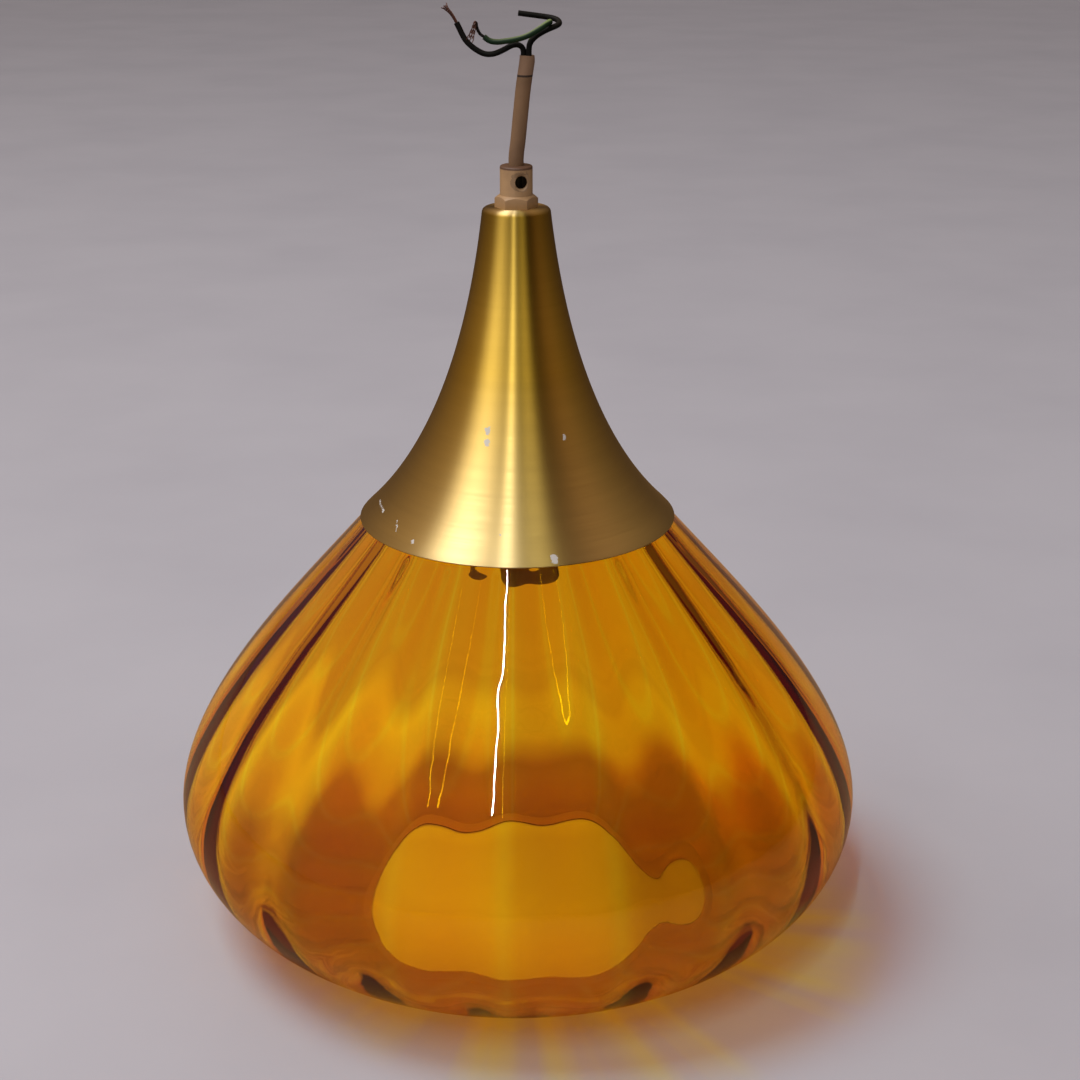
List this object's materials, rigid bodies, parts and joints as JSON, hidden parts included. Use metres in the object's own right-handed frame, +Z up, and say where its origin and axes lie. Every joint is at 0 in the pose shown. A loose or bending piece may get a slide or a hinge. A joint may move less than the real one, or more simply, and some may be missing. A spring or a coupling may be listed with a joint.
{
  "type": "pendant light",
  "caption": "Pendant light: a ribbed amber glass shade, open below, hangs from a spun metal cone with a cord grip above it and a bayonet lampholder inside.",
  "frame": {"origin": "centre of the foot ring of the glass, on the plane that the shade stands on", "axes": "+Z up along the axis of the shade, out through the cord grip; -Y towards the viewer of the picture"},
  "size_m": [0.29, 0.29, 0.3911],
  "materials": {
    "amber_glass": "gloss, clear amber, ribbed inside",
    "gold_anodised": "spun and brushed, gold-brown anodised",
    "grip_plastic": "matt tan moulding",
    "tan_sheath": "matt tan cord sheath",
    "dark_core": "near-black core insulation",
    "green_core": "green core insulation",
    "copper": "bare copper strands",
    "zinc_steel": "zinc-plated steel",
    "blackened_steel": "blackened steel",
    "rubber": "matt black rubber",
    "bakelite": "dark brown moulding",
    "cream_moulding": "matt cream moulding",
    "brass": "turned brass",
    "spring_steel": "bright spring wire"
  },
  "bodies": {
    "fixture": {"glass_shade": "amber_glass", "cone_cover": "gold_anodised", "cord_grip": "grip_plastic", "cord_sheath": "tan_sheath", "core_live": "dark_core", "core_neutral": "dark_core", "core_earth": "green_core", "strands_live": "copper", "strands_earth": "copper", "cord_in_stem": "tan_sheath", "inner_live": "dark_core", "inner_neutral": "dark_core", "inner_earth": "green_core", "stem_tube": "zinc_steel", "top_washer": "zinc_steel", "top_nut": "zinc_steel", "clamp_dish": "zinc_steel", "gasket_ring": "rubber", "dish_washer": "zinc_steel", "dish_nut": "zinc_steel", "holder_cap": "bakelite", "entry_bush": "brass", "earth_tag": "brass", "earth_screw": "brass", "holder_insert": "cream_moulding", "spring_a": "spring_steel", "spring_b": "spring_steel", "terminal_blocks": "brass", "terminal_screws": "zinc_steel", "holder_barrel": "bakelite"},
    "plunger_a": {"plunger_a": "brass"},
    "plunger_b": {"plunger_b": "brass"},
    "grip_screw": {"grip_screw": "blackened_steel"},
    "shade_ring": {"shade_ring": "bakelite"}
  },
  "joints": [
    {"name": "plunger_a_travel", "type": "slide", "parent": "fixture", "child": "plunger_a", "axis": [0, 0, 1], "range_m": [0, 0.004], "stiffness_N_per_m": 1200, "springref_m": -0.002, "deforming": ["spring_a"]},
    {"name": "plunger_b_travel", "type": "slide", "parent": "fixture", "child": "plunger_b", "axis": [0, 0, 1], "range_m": [0, 0.004], "stiffness_N_per_m": 1200, "springref_m": -0.002, "deforming": ["spring_b"]},
    {"name": "grip_screw_travel", "type": "slide", "parent": "fixture", "child": "grip_screw", "axis": [0.3584, -0.9336, 0], "range_m": [0, 0.0015]},
    {"name": "shade_ring_travel", "type": "slide", "parent": "fixture", "child": "shade_ring", "axis": [0, 0, -1], "range_m": [0, 0.012]}
  ]
}
